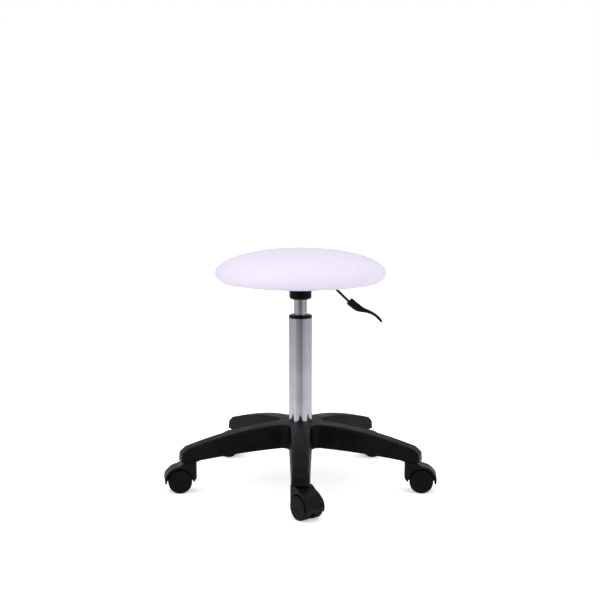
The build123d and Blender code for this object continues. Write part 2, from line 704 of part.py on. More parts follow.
def handle_axis():
    """Start point and downward direction of the lever's sloping run, in the XZ plane."""
    slope = radians(LEVER_DROP_DEG)
    start_z = LEVER_Z - (HANDLE_START_X - LEVER_BEND_X) * tan(slope)
    return Vector(HANDLE_START_X, 0, start_z), Vector(cos(slope), 0, -sin(slope))


def lever_rod():
    """Bent steel rod with a cross hub that turns on the pivot pin."""
    start, along = handle_axis()
    path = FilletPolyline(
        (-LEVER_TAIL, 0, LEVER_Z),
        (LEVER_BEND_X, 0, LEVER_Z),
        start + along * HANDLE_GRIP,
        radius=LEVER_BEND_RADIUS,
    )
    rod = sweep(Plane(origin=(-LEVER_TAIL, 0, LEVER_Z), z_dir=(1, 0, 0)) * Circle(LEVER_ROD_RADIUS), path)
    hub = Pos(PIVOT_X, LEVER_HUB_WIDTH / 2, LEVER_Z) * Rot(90, 0, 0) * extrude(
        Circle(LEVER_HUB_RADIUS), LEVER_HUB_WIDTH
    )
    bore = Pos(PIVOT_X, 20, LEVER_Z) * Rot(90, 0, 0) * extrude(Circle(PIVOT_RADIUS + RUNNING), 40)
    return rod + hub - bore


def lever_handle():
    """Moulded paddle: a square socket on the rod that flattens into an upswept, then drooping blade."""
    start, along = handle_axis()
    across = Vector(-along.Z, 0, along.X)
    # share of the length, offset across the rod, lean of the section in degrees, height, width
    stations = [
        (0.0, 1.3, 2.0, HANDLE_SOCKET - 1.2, 13.5),
        (0.03, 1.6, 4.0, HANDLE_SOCKET, 15.0),
        (0.15, 2.6, 7.0, HANDLE_SOCKET, 15.0),
        (0.29, 4.2, 14.0, HANDLE_SOCKET - 0.8, 15.0),
        (0.42, 8.4, 25.0, 0.62 * HANDLE_SOCKET, 16.5),
        (0.54, 13.5, 24.0, BLADE_THICKNESS + 1.2, 0.9 * BLADE_WIDTH),
        (0.66, 17.3, 13.0, BLADE_THICKNESS, BLADE_WIDTH),
        (0.81, 19.3, 2.0, BLADE_THICKNESS, BLADE_WIDTH),
        (0.95, 18.9, -5.0, BLADE_THICKNESS - 0.2, 0.86 * BLADE_WIDTH),
        (1.0, 18.5, -7.0, 0.6 * BLADE_THICKNESS, 0.62 * BLADE_WIDTH),
    ]
    sections = []
    for share, lift, turn, height, width in stations:
        centre = start + along * (share * HANDLE_LENGTH) + across * lift
        lean = radians(turn)
        normal = along * cos(lean) + across * sin(lean)
        plane = Plane(origin=centre, x_dir=(0, 1, 0), z_dir=normal)
        sections.append(plane * RectangleRounded(width, height, min(height, width) * 0.42))
    body = loft(sections)
    bore = Plane(origin=start - along * 2, z_dir=along) * Circle(LEVER_ROD_RADIUS)
    return body - extrude(bore, HANDLE_GRIP + 2)


# ================================================================ seat
def cushion_profile(inset):
    """Half outline of the seat in the XZ plane: a domed top over a rolled edge, moved in by inset."""
    radius = SEAT_RADIUS - inset
    crown = SEAT_CROWN - inset
    lip = SEAT_LIP - inset
    top_points = []
    steps = 14
    for number in range(steps + 1):
        angle = radians(90 * number / steps)
        r = radius * sin(angle) ** (2 / DOME_POWER)
        rise = crown * max(0.0, 1 - (r / radius) ** DOME_POWER) ** (1 / DOME_POWER)
        top_points.append((r, SEAT_WAIST_Z + rise))
    dome = Spline(*top_points, tangents=[(1, 0), (0, -1)])
    bottom = SEAT_WAIST_Z - lip
    roll_points = []
    for angle in (0, 22.5, 45, 67.5, 90):
        drop = radians(angle)
        roll_points.append((radius - (EDGE_ROLL - inset) * (1 - cos(drop)), SEAT_WAIST_Z - lip * sin(drop)))
    roll = Spline(*roll_points, tangents=[(0, -1), (-1, 0)])
    base = Polyline(roll @ 1, (0, bottom), (0, SEAT_WAIST_Z + crown))
    return Plane.XZ * make_face([dome, roll, base])


def cushion_body(inset):
    """Whole cushion as one closed solid."""
    return revolve(cushion_profile(inset), Axis.Z, 360)


def seat_cover():
    """Vinyl skin over the foam, with its hem folded in under the board."""
    opening = BOARD_RADIUS - HEM_WIDTH
    skin = cushion_body(0) - cushion_body(COVER_THICKNESS)
    return skin - disc(opening, SEAT_BOTTOM_Z - 5, BOARD_Z + 1)


def foam_pad():
    """Foam between the board and the cover, with room for the tee nuts' flanges."""
    body = cushion_body(COVER_THICKNESS)
    body -= disc(BOARD_RADIUS, BOARD_Z - 1, BOARD_Z + BOARD_THICKNESS)
    for place in bolt_places():
        body -= place * disc(TEE_FLANGE_RADIUS, BOARD_Z, BOARD_Z + BOARD_THICKNESS + TEE_FLANGE)
    return body


def seat_board():
    """Plywood disc with four holes for the tee nuts."""
    body = disc(BOARD_RADIUS, BOARD_Z, BOARD_Z + BOARD_THICKNESS)
    for place in bolt_places():
        body -= place * disc(TEE_BARREL_RADIUS, BOARD_Z - 1, BOARD_Z + BOARD_THICKNESS + 1)
    return body


def tee_nut():
    """Tee nut: threaded barrel in the board, flange on its upper face."""
    top = BOARD_Z + BOARD_THICKNESS
    return ring(BOLT_RADIUS, TEE_BARREL_RADIUS, top - TEE_BARREL, top + 0.01) + ring(
        BOLT_RADIUS, TEE_FLANGE_RADIUS, top, top + TEE_FLANGE
    )


def plate_washer():
    """Washer under a bolt's head."""
    return ring(BOLT_RADIUS + 0.2, WASHER_RADIUS, FLANGE_Z - WASHER_THICKNESS, FLANGE_Z)


def plate_bolt():
    """Round-headed bolt with a hex recess."""
    head_top = FLANGE_Z - WASHER_THICKNESS
    head = disc(BOLT_HEAD_RADIUS, head_top - BOLT_HEAD_HEIGHT, head_top)
    low = [e for e in head.edges() if abs(e.center().Z - (head_top - BOLT_HEAD_HEIGHT)) < 0.01]
    head = fillet(low, 2.0)
    head -= Pos(0, 0, head_top - BOLT_HEAD_HEIGHT - 0.1) * extrude(RegularPolygon(2.3, 6), 2.4)
    return head + disc(BOLT_RADIUS, head_top - 0.01, head_top + BOLT_LENGTH)


def hem_staples():
    """Staple crowns that hold the hem to the board."""
    reach = BOARD_RADIUS - HEM_WIDTH / 2
    staples = []
    for number in range(STAPLE_COUNT):
        place = Rot(0, 0, (number + 0.5) * 360 / STAPLE_COUNT)
        crown = Box(STAPLE_WIRE, STAPLE_CROWN, STAPLE_WIRE)
        staples.append(place * Pos(reach, 0, SEAT_BOTTOM_Z - STAPLE_WIRE / 2) * crown)
    return Compound(children=[staple.solid() for staple in staples])


def group(shape, places):
    """Identical pieces at several places, as separate solids of one node."""
    return Compound(children=[(place * shape).solid() for place in places])


# ================================================================ assembly
def build_column():
    keep("star_base", star_base())
    keep("outer_tube", outer_tube())
    keep("tube_end_plate", end_plate())
    keep("guide_bush", guide_bush())
    race_top = PLATE_TOP_Z + RACE_THICKNESS
    keep("lower_race", ring(ROD_NECK_RADIUS + LOOSE, RACE_RADIUS, PLATE_TOP_Z, race_top))
    keep("upper_race", ring(ROD_NECK_RADIUS, RACE_RADIUS, UPPER_RACE_Z, SHOULDER_Z))
    keep("bearing_balls", bearing_balls())
    keep("bump_stop", ring(ROD_RADIUS, BUMPER_RADIUS, SHOULDER_Z, SHOULDER_Z + BUMPER_HEIGHT))
    clip_top = PLATE_TOP_Z - END_PLATE - CLEAR
    keep("retaining_clip", ring(ROD_NECK_RADIUS, CLIP_RADIUS, clip_top - CLIP_THICKNESS, clip_top))
    keep("piston_rod", piston_rod())
    piston_top = PISTON_Z + PISTON_THICKNESS
    keep("piston_head", ring(ROD_RADIUS - 1, CYLINDER_BORE - RUNNING, PISTON_Z, piston_top))
    keep("gas_cylinder", gas_cylinder())
    keep("rod_guide", ring(ROD_RADIUS + RUNNING, CYLINDER_BORE, GUIDE_Z, GUIDE_Z + GUIDE_HEIGHT))
    keep("rod_seal", ring(ROD_RADIUS + RUNNING, CYLINDER_BORE, GUIDE_Z + GUIDE_HEIGHT, SEAL_TOP_Z))
    valve_low = CHAMBER_TOP_Z - VALVE_HEIGHT
    keep("valve_body", ring(PIN_RADIUS + RUNNING, CYLINDER_BORE, valve_low, CHAMBER_TOP_Z))
    keep("release_pin", release_pin())


def build_seat():
    keep("taper_socket", taper_socket())
    keep("socket_cover", socket_cover())
    keep("seat_plate", seat_plate())
    keep("lever_bracket", lever_bracket())
    keep("pivot_pin", pivot_pin())
    keep("pivot_clip", pivot_clip())
    keep("lever_rod", lever_rod())
    keep("lever_handle", lever_handle())
    keep("seat_board", seat_board())
    keep("foam_pad", foam_pad())
    keep("seat_cover", seat_cover())
    keep("tee_nuts", group(tee_nut(), bolt_places()))
    keep("plate_washers", group(plate_washer(), bolt_places()))
    keep("plate_bolts", group(plate_bolt(), bolt_places()))
    keep("hem_staples", hem_staples())


def build_casters():
    keep("stem_grip_rings", group(grip_ring(), stem_places()))
    stem = caster_stem()
    housing = caster_housing()
    axle = caster_axle()
    left_wheel = caster_wheel(1)
    right_wheel = caster_wheel(-1)
    for number, name in enumerate(CASTER_NAMES):
        angle = radians(FRONT_ARM_DEG + number * 360 / ARM_COUNT)
        at_stem = Pos(STEM_CIRCLE * cos(angle), STEM_CIRCLE * sin(angle), 0)
        turned_place = at_stem * Rot(0, 0, CASTER_TRAIL_DEG[number])
        keep("caster_stem_" + name, at_stem * stem)
        keep("caster_housing_" + name, turned_place * housing)
        keep("caster_axle_" + name, turned_place * axle)
        keep("left_wheel_" + name, turned_place * left_wheel)
        keep("right_wheel_" + name, turned_place * right_wheel)


def write_parts():
    os.makedirs("parts", exist_ok=True)
    for name, shape in NODES.items():
        solids = shape.solids()
        export_step(solids[0] if len(solids) == 1 else Compound(children=solids), "parts/" + name + ".step")
        print(name, len(solids), "solid(s)", round(sum(s.volume for s in solids)), "mm3")


build_column()
build_seat()
build_casters()
write_parts()
print(len(NODES), "nodes")
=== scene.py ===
# %% [markdown]
# # A dentist's stool, dressed for the camera
# The stool has a round padded seat, a gas lift with a chromed tube, and five
# plastic arms on twin-wheel casters. The exact parts come already made and in
# place, so this lesson adds what they can't carry: the stuffed seat with its
# stapled hem, the finishes of each plastic and metal, and the studio.

# %% Load the frame
import json
from math import cos, pi, radians, sin

import bpy
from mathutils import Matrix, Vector


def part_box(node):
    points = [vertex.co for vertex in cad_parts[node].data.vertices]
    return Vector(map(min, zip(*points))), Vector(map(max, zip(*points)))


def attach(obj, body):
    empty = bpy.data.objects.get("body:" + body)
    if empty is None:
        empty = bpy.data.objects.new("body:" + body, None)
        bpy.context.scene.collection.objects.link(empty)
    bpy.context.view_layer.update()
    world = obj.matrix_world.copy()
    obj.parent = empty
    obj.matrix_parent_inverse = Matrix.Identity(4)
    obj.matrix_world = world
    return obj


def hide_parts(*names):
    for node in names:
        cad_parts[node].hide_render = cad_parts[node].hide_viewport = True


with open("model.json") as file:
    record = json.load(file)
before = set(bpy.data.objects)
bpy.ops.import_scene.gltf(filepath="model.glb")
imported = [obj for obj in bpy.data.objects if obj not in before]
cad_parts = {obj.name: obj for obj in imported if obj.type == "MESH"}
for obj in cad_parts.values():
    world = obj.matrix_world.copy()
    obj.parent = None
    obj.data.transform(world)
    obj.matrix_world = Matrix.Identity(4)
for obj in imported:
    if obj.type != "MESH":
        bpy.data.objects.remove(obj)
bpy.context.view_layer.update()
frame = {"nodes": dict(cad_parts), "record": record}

# %% [markdown]
# ## The camera
# A long lens from about two and a half metres keeps the far arms nearly as
# large as the near ones. The camera stands a little above the seat and looks
# slightly down, so the top of the cushion and the tops of the arms both show.

# %% Place the camera
CAMERA_PLACE = (-0.001, -2.468, 0.734)
CAMERA_TILT = radians(82.17)
CAMERA_LENS = 70.3

bpy.ops.object.select_all(action="DESELECT")
bpy.ops.object.camera_add(location=CAMERA_PLACE, rotation=(CAMERA_TILT, 0, 0))
camera = bpy.context.object
camera.name = "studio_camera"
camera.data.lens = CAMERA_LENS
camera.data.sensor_width = 36
bpy.context.scene.camera = camera
bpy.context.scene.view_settings.view_transform = "Standard"
print("camera at", tuple(round(c, 3) for c in camera.location))

# %% [markdown]
# ## The studio
# White seats and black plastic are lit by broad soft sources. A large box of
# light overhead fills the top of the seat and the arms, a key from the left
# shapes it, and a weak one from the right opens the shadows.

# %% Hang the lights
SOFT_LIGHTS = [
    # name, place, size in metres, power in watts
    ("overhead_box", (0.0, 0.1, 2.7), 2.4, 8),
    ("key_box", (-2.0, -1.5, 1.7), 1.5, 9),
    ("fill_box", (2.2, -1.2, 1.3), 1.5, 3),
]
STOOL_MIDDLE = Vector((0, 0, 0.3))

for name, place, size, power in SOFT_LIGHTS:
    aim = (Vector(place) - STOOL_MIDDLE).to_track_quat("Z", "Y").to_euler()
    bpy.ops.object.light_add(type="AREA", location=place, rotation=aim)
    light = bpy.context.object
    light.name = name
    light.data.size = size
    light.data.energy = power
    print(name, "lit at", power, "W")

# %% [markdown]
# ## The room around the stool
# Polished metal shows the room it stands in. Its walls are grey, the side
# behind the camera is unlit, and two upright strip lights stand in front, so a
# mirror-bright tube gets a dark band down its middle with paler lines beside
# it. The ground is paler the steeper it is looked at, which lightens the foot
# of the tube. Only glossy rays see this room: the air and the daylight on the
# matt surfaces stay white and even.

# %% Paint the room
ROOM_DAYLIGHT = 1.0
ROOM_DARK = 0.15
ROOM_WALL = 0.52
ROOM_CEILING = 0.5
ROOM_FLOOR = 0.5
ROOM_AIR = 1.0
WALL_TURN = (-0.97, -0.55)  # the wall brightens as the view turns from the camera's side
CEILING_RISE = (0.3, 0.75)  # the ceiling brightens as the view rises
GROUND_DIP = (-0.12, -0.26)  # the ground brightens as the view dips
STRIPS = [(-0.38, 0.09), (0.5, 0.14)]  # sideways place and half-width of each strip light
STRIP_GLOW = 0.26


def link(tree, source, target):
    """Join an output to an input of a node tree."""
    tree.links.new(source, target)


def put(tree, kind, **values):
    """Add a node; values name its settings, or its inputs where no setting has that name."""
    node = tree.nodes.new(kind)
    for key, value in values.items():
        if hasattr(node, key):
            setattr(node, key, value)
        else:
            node.inputs[key.replace("_", " ")].default_value = value
    return node


def sums(tree, operation, first, second):
    """Math node fed by sockets or plain numbers; gives its output socket."""
    node = put(tree, "ShaderNodeMath", operation=operation)
    for place, value in enumerate((first, second)):
        if isinstance(value, (int, float)):
            node.inputs[place].default_value = value
        else:
            link(tree, value, node.inputs[place])
    return node.outputs["Value"]


def stretch(tree, value, low, high, to_low=0.0, to_high=1.0):
    """Map Range node, smooth and clamped; gives its output socket."""
    node = put(tree, "ShaderNodeMapRange", interpolation_type="SMOOTHSTEP")
    limits = (("From Min", low), ("From Max", high), ("To Min", to_low), ("To Max", to_high))
    for socket, number in limits:
        node.inputs[socket].default_value = number
    link(tree, value, node.inputs["Value"])
    return node.outputs["Result"]


world = bpy.data.worlds.new("studio_room")
bpy.context.scene.world = world
world.use_nodes = True
room = world.node_tree
room.nodes.clear()
look = put(room, "ShaderNodeTexCoord")
split = put(room, "ShaderNodeSeparateXYZ")
link(room, look.outputs["Generated"], split.inputs[0])
wall = stretch(room, split.outputs["Y"], *WALL_TURN, ROOM_DARK, ROOM_WALL)
ceiling = stretch(room, split.outputs["Z"], *CEILING_RISE, 0.0, ROOM_CEILING)
ground = stretch(room, split.outputs["Z"], *GROUND_DIP, 0.0, ROOM_FLOOR)
glow = sums(room, "ADD", sums(room, "MAXIMUM", wall, ceiling), ground)
for sideways, half_width in STRIPS:
    away = sums(room, "SUBTRACT", split.outputs["X"], sideways)
    gap = sums(room, "ABSOLUTE", away, 0.0)
    glow = sums(room, "ADD", glow, stretch(room, gap, half_width, 0.0, 0.0, STRIP_GLOW))
ray = put(room, "ShaderNodeLightPath")
even = put(room, "ShaderNodeMix", data_type="FLOAT")
even.inputs["A"].default_value = ROOM_DAYLIGHT
even.inputs["B"].default_value = ROOM_AIR
link(room, ray.outputs["Is Camera Ray"], even.inputs["Factor"])
seen = put(room, "ShaderNodeMix", data_type="FLOAT")
link(room, ray.outputs["Is Glossy Ray"], seen.inputs["Factor"])
link(room, even.outputs["Result"], seen.inputs["A"])
link(room, glow, seen.inputs["B"])
air = put(room, "ShaderNodeBackground", Color=(1, 1, 1, 1))
link(room, seen.outputs["Result"], air.inputs["Strength"])
out = put(room, "ShaderNodeOutputWorld")
link(room, air.outputs[0], out.inputs[0])
print("room of", len(room.nodes), "nodes")

# %% [markdown]
# ## The floor
# A pale matt floor, laid as a disc under the stool and a wide ring round it.
# Polished metal sees only the disc, and past it the ground of the dark room.
# The floor also glows a little for the camera alone, so that the shadow on it
# stays faint without its light reaching the stool.

# %% Lay the floor
DISC_RADIUS = 0.34
FLOOR_REACH = 40.0
FLOOR_SIDES = 96
SHADOW_LIFT = 0.4

floor_paint = bpy.data.materials.new("pale_floor")
floor_paint.use_nodes = True
paint = floor_paint.node_tree.nodes["Principled BSDF"]
paint.inputs["Base Color"].default_value = (0.97, 0.97, 0.97, 1)
paint.inputs["Roughness"].default_value = 0.9
paint.inputs["Specular IOR Level"].default_value = 0.1
paint.inputs["Emission Color"].default_value = (1, 1, 1, 1)
straight = put(floor_paint.node_tree, "ShaderNodeLightPath")
lift = sums(floor_paint.node_tree, "MULTIPLY", straight.outputs["Is Camera Ray"], SHADOW_LIFT)
link(floor_paint.node_tree, lift, paint.inputs["Emission Strength"])


def finish_floor(floor, name):
    """Name a floor and paint it."""
    floor.name = name
    floor.data.materials.append(floor_paint)


bpy.ops.object.select_all(action="DESELECT")
bpy.ops.mesh.primitive_circle_add(vertices=FLOOR_SIDES, radius=DISC_RADIUS, fill_type="NGON")
finish_floor(bpy.context.object, "floor_paper")

bpy.ops.object.select_all(action="DESELECT")
bpy.ops.mesh.primitive_circle_add(vertices=FLOOR_SIDES, radius=DISC_RADIUS, fill_type="NOTHING")
wide_floor = bpy.context.object
bpy.ops.object.mode_set(mode="EDIT")
bpy.ops.mesh.select_all(action="SELECT")
bpy.ops.mesh.extrude_edges_move()
bpy.ops.transform.resize(value=[FLOOR_REACH / DISC_RADIUS] * 3)
bpy.ops.mesh.select_all(action="SELECT")
bpy.ops.mesh.normals_make_consistent(inside=False)
bpy.ops.object.mode_set(mode="OBJECT")
finish_floor(wide_floor, "floor_wide")
wide_floor.visible_glossy = False
print("floor", 2 * FLOOR_REACH, "m across, disc", 2 * DISC_RADIUS, "m")

# %% [markdown]
# ## Shared effects
# Moulded plastic, drawn metal and vinyl differ mostly in a few things: how
# fine their grain is, how unevenly they shine, and what has settled or rubbed
# on them. Each effect is built once as a node group with named sockets, and
# each finish then sets its own values. The groups give out only masks and
# heights; the shader stays in the material.


# %% A helper for node groups
def new_group(name, inputs, outputs):
    """Node group with float sockets: inputs is {name: default}, outputs is a list of names."""
    group = bpy.data.node_groups.new(name, "ShaderNodeTree")
    for title, value in inputs.items():
        socket = group.interface.new_socket(name=title, in_out="INPUT", socket_type="NodeSocketFloat")
        socket.default_value = value
    for title in outputs:
        group.interface.new_socket(name=title, in_out="OUTPUT", socket_type="NodeSocketFloat")
    ends = put(group, "NodeGroupInput"), put(group, "NodeGroupOutput")
    return group, ends[0], ends[1]


print("group helpers ready")

# %% [markdown]
# ### Moulded grain
# A plastic part copies the spark-eroded surface of its mould: a fine even
# stipple, with broad faint patches where the melt cooled unevenly. Two noises
# do it, one at the grain's size for the height and one much larger for tone.

# %% Build the moulded grain
grain_group, ins, outs = new_group("moulded_grain", {"Scale": 1800.0}, ["Height", "Tone"])
place = put(grain_group, "ShaderNodeTexCoord")
stipple = put(grain_group, "ShaderNodeTexNoise", Detail=2.0, Roughness=0.55)
link(grain_group, place.outputs["Object"], stipple.inputs["Vector"])
link(grain_group, ins.outputs["Scale"], stipple.inputs["Scale"])
link(grain_group, stipple.outputs["Fac"], outs.inputs["Height"])
patches = put(grain_group, "ShaderNodeTexNoise", Scale=22.0, Detail=3.0, Roughness=0.6)
link(grain_group, place.outputs["Object"], patches.inputs["Vector"])
link(grain_group, stretch(grain_group, patches.outputs["Fac"], 0.35, 0.68), outs.inputs["Tone"])
print("moulded_grain", len(grain_group.nodes), "nodes")

# %% [markdown]
# ### Settled dust
# Dust lies only on faces that look up, thinner where hands and wheels rub it
# away. The upward part of the surface normal is the mask, broken by a noise.

# %% Build the settled dust
dust_group, ins, outs = new_group("settled_dust", {"Amount": 0.2, "Scale": 60.0}, ["Mask"])
place = put(dust_group, "ShaderNodeTexCoord")
shape = put(dust_group, "ShaderNodeNewGeometry")
upward = put(dust_group, "ShaderNodeSeparateXYZ")
link(dust_group, shape.outputs["Normal"], upward.inputs[0])
facing_up = stretch(dust_group, upward.outputs["Z"], 0.35, 0.95)
speck = put(dust_group, "ShaderNodeTexNoise", Detail=6.0, Roughness=0.75)
link(dust_group, place.outputs["Object"], speck.inputs["Vector"])
link(dust_group, ins.outputs["Scale"], speck.inputs["Scale"])
broken = stretch(dust_group, speck.outputs["Fac"], 0.38, 0.72)
lying = sums(dust_group, "MULTIPLY", facing_up, broken)
link(dust_group, sums(dust_group, "MULTIPLY", lying, ins.outputs["Amount"]), outs.inputs["Mask"])
print("settled_dust", len(dust_group.nodes), "nodes")

# %% [markdown]
# ### Hairline rubs
# Sliding a part on cloth or grit draws thin lines. A noise squeezed hard along
# one direction and cut to its peaks gives them, in two crossing directions.

# %% Build the hairline rubs
rub_group, ins, outs = new_group("hairline_rubs", {"Amount": 0.3, "Scale": 90.0}, ["Mask"])
place = put(rub_group, "ShaderNodeTexCoord")
lines = []
for turn in (0.5, 2.2):
    lay = put(rub_group, "ShaderNodeMapping")
    lay.inputs["Rotation"].default_value = (turn, 0.6 * turn, turn)
    lay.inputs["Scale"].default_value = (1, 0.04, 1)
    link(rub_group, place.outputs["Object"], lay.inputs["Vector"])
    streak = put(rub_group, "ShaderNodeTexNoise", Detail=2.0)
    link(rub_group, lay.outputs["Vector"], streak.inputs["Vector"])
    link(rub_group, ins.outputs["Scale"], streak.inputs["Scale"])
    lines.append(stretch(rub_group, streak.outputs["Fac"], 0.66, 0.74))
crossed = sums(rub_group, "MAXIMUM", lines[0], lines[1])
link(rub_group, sums(rub_group, "MULTIPLY", crossed, ins.outputs["Amount"]), outs.inputs["Mask"])
print("hairline_rubs", len(rub_group.nodes), "nodes")

# %% [markdown]
# ### Drawn streaks
# Tube and rod are drawn through dies, which leaves very faint lines along
# their length even under plating. The noise is stretched along the height.

# %% Build the drawn streaks
drawn_group, ins, outs = new_group("drawn_streaks", {"Scale": 260.0}, ["Tone", "Cloud"])
place = put(drawn_group, "ShaderNodeTexCoord")
lay = put(drawn_group, "ShaderNodeMapping")
lay.inputs["Scale"].default_value = (1, 1, 0.015)
link(drawn_group, place.outputs["Object"], lay.inputs["Vector"])
streak = put(drawn_group, "ShaderNodeTexNoise", Detail=3.0, Roughness=0.6)
link(drawn_group, lay.outputs["Vector"], streak.inputs["Vector"])
link(drawn_group, ins.outputs["Scale"], streak.inputs["Scale"])
link(drawn_group, streak.outputs["Fac"], outs.inputs["Tone"])
cloud = put(drawn_group, "ShaderNodeTexNoise", Scale=18.0, Detail=4.0)
link(drawn_group, place.outputs["Object"], cloud.inputs["Vector"])
link(drawn_group, stretch(drawn_group, cloud.outputs["Fac"], 0.4, 0.7), outs.inputs["Cloud"])
print("drawn_streaks", len(drawn_group.nodes), "nodes")

# %% [markdown]
# ## The plastics
# All are black, but not alike: the base is glass-filled nylon with a dull
# stipple, the casters are the same family but smoother, the wheels' treads are
# softer and duller, and the bush, the cap and the handle are moulded glossy.
# One recipe builds them all, and each gets its own values.


# %% Recipe for moulded plastic
def mixed(tree, factor, first, second):
    """Colour mix of two colours or sockets by a factor socket; gives its output socket."""
    node = put(tree, "ShaderNodeMix", data_type="RGBA")
    link(tree, factor, node.inputs["Factor"])
    for title, value in ((6, first), (7, second)):
        if isinstance(value, tuple):
            node.inputs[title].default_value = (*value, 1)
        else:
            link(tree, value, node.inputs[title])
    return node.outputs[2]


def placed_group(tree, group, **values):
    """A group node in a material, with its inputs set."""
    node = tree.nodes.new("ShaderNodeGroup")
    node.node_tree = group
    for title, value in values.items():
        node.inputs[title].default_value = value
    return node


def blank_material(name):
    """Material with only its shader; gives the material, its tree and its shader."""
    material = bpy.data.materials.new(name)
    material.use_nodes = True
    return material, material.node_tree, material.node_tree.nodes["Principled BSDF"]


def bump_from(tree, shader, height, strength, depth):
    """Feed the shader's normal from a height."""
    bump = put(tree, "ShaderNodeBump", Strength=strength, Distance=depth)
    link(tree, height, bump.inputs["Height"])
    link(tree, bump.outputs["Normal"], shader.inputs["Normal"])


DUST_COLOUR = (0.32, 0.30, 0.28)


def plastic(name, colour, patch, rough, grain, bump, dust, rubs, sheen=0.5):
    """Moulded plastic: rough is its range, grain the stipple's scale and bump its strength."""
    material, tree, shader = blank_material(name)
    moulded = placed_group(tree, grain_group, Scale=grain)
    lying = placed_group(tree, dust_group, Amount=dust)
    rubbed = placed_group(tree, rub_group, Amount=rubs)
    tone = mixed(tree, moulded.outputs["Tone"], colour, patch)
    pale = mixed(tree, rubbed.outputs["Mask"], tone, tuple(4 * c for c in patch))
    link(tree, mixed(tree, lying.outputs["Mask"], pale, DUST_COLOUR), shader.inputs["Base Color"])
    even = stretch(tree, moulded.outputs["Tone"], 0, 1, *rough)
    dulled = sums(tree, "ADD", even, sums(tree, "MULTIPLY", rubbed.outputs["Mask"], 0.25))
    link(tree, dulled, shader.inputs["Roughness"])
    shader.inputs["Specular IOR Level"].default_value = sheen
    bump_from(tree, shader, moulded.outputs["Height"], bump, 0.0004)
    return material


FINISHES = {
    "black_nylon": plastic(
        "base_nylon", (0.0034, 0.0033, 0.0041), (0.0055, 0.0053, 0.0064),
        (0.38, 0.48), 1500, 0.35, 0.01, 0.15, 0.11
    ),
    "caster_nylon": plastic(
        "caster_nylon", (0.0034, 0.0033, 0.0041), (0.0055, 0.0053, 0.0064),
        (0.32, 0.42), 1700, 0.25, 0.01, 0.15, 0.12
    ),
    "wheel_nylon": plastic(
        "wheel_nylon", (0.0032, 0.0032, 0.0038), (0.0056, 0.0056, 0.0062),
        (0.4, 0.52), 1200, 0.3, 0.005, 0.25, 0.08
    ),
    "black_acetal": plastic(
        "bush_acetal", (0.0028, 0.0028, 0.0032), (0.0046, 0.0046, 0.0052),
        (0.16, 0.24), 2400, 0.08, 0.004, 0.1, 0.2
    ),
    "cap_plastic": plastic(
        "cap_plastic", (0.0026, 0.0026, 0.003), (0.0044, 0.0044, 0.005),
        (0.2, 0.3), 2200, 0.1, 0.004, 0.1, 0.12
    ),
    "handle_plastic": plastic(
        "handle_plastic", (0.003, 0.003, 0.0034), (0.005, 0.005, 0.0056),
        (0.18, 0.28), 2200, 0.1, 0.005, 0.15, 0.18
    ),
    "rubber": plastic(
        "seal_rubber", (0.012, 0.012, 0.012), (0.02, 0.02, 0.02),
        (0.6, 0.75), 900, 0.3, 0.05, 0.1, 0.35
    ),
}
print("plastics:", ", ".join(FINISHES))

# %% [markdown]
# ## The metals
# The tube and the cylinder are hard chrome over polished steel. The plate,
# socket, bracket and lever rod are painted or blackened steel, and the small
# fixings are black zinc. Chrome is nearly a mirror, so its only marks are a
# faint haze and the draw lines; the zinc is duller and patchy.


# %% Recipe for metal
def metal(name, colour, shade, rough, streaks, line_strength):
    """Bare or plated metal: rough is its range, streaks the draw lines' scale."""
    material, tree, shader = blank_material(name)
    drawn = placed_group(tree, drawn_group, Scale=streaks)
    rubbed = placed_group(tree, rub_group, Amount=0.2, Scale=140.0)
    link(tree, mixed(tree, drawn.outputs["Cloud"], colour, shade), shader.inputs["Base Color"])
    haze = stretch(tree, drawn.outputs["Cloud"], 0, 1, *rough)
    scuffs = sums(tree, "MULTIPLY", rubbed.outputs["Mask"], 0.2)
    link(tree, sums(tree, "ADD", haze, scuffs), shader.inputs["Roughness"])
    shader.inputs["Metallic"].default_value = 1.0
    bump_from(tree, shader, drawn.outputs["Tone"], line_strength, 0.0001)
    return material


FINISHES["chrome"] = metal(
    "tube_chrome", (0.56, 0.56, 0.62), (0.51, 0.51, 0.57), (0.09, 0.13), 320, 0.05
)
FINISHES["plain_steel"] = metal(
    "plain_steel", (0.42, 0.41, 0.40), (0.33, 0.32, 0.31), (0.3, 0.42), 240, 0.1
)
FINISHES["polished_steel"] = metal(
    "polished_steel", (0.66, 0.66, 0.67), (0.58, 0.58, 0.6), (0.1, 0.18), 300, 0.05
)
FINISHES["zinc_steel"] = metal(
    "black_zinc", (0.07, 0.07, 0.075), (0.045, 0.045, 0.05), (0.3, 0.46), 180, 0.1
)
print("metals: chrome, plain, polished and zinc steel")

# %% [markdown]
# ### Black paint
# The plate under the seat, the socket, the bracket and the lever rod are
# sprayed with black enamel, which dries with a slight orange-peel ripple.

# %% Build the black paint
enamel, tree, shader = blank_material("black_enamel")
peel = placed_group(tree, grain_group, Scale=520.0)
lying = placed_group(tree, dust_group, Amount=0.05)
rubbed = placed_group(tree, rub_group, Amount=0.3)
skin = mixed(tree, peel.outputs["Tone"], (0.006, 0.006, 0.0065), (0.01, 0.01, 0.011))
bare = mixed(tree, rubbed.outputs["Mask"], skin, (0.12, 0.115, 0.11))
link(tree, mixed(tree, lying.outputs["Mask"], bare, DUST_COLOUR), shader.inputs["Base Color"])
link(tree, stretch(tree, peel.outputs["Tone"], 0, 1, 0.22, 0.34), shader.inputs["Roughness"])
bump_from(tree, shader, peel.outputs["Height"], 0.15, 0.0004)
FINISHES["black_steel"] = enamel
print("black_enamel", len(tree.nodes), "nodes")

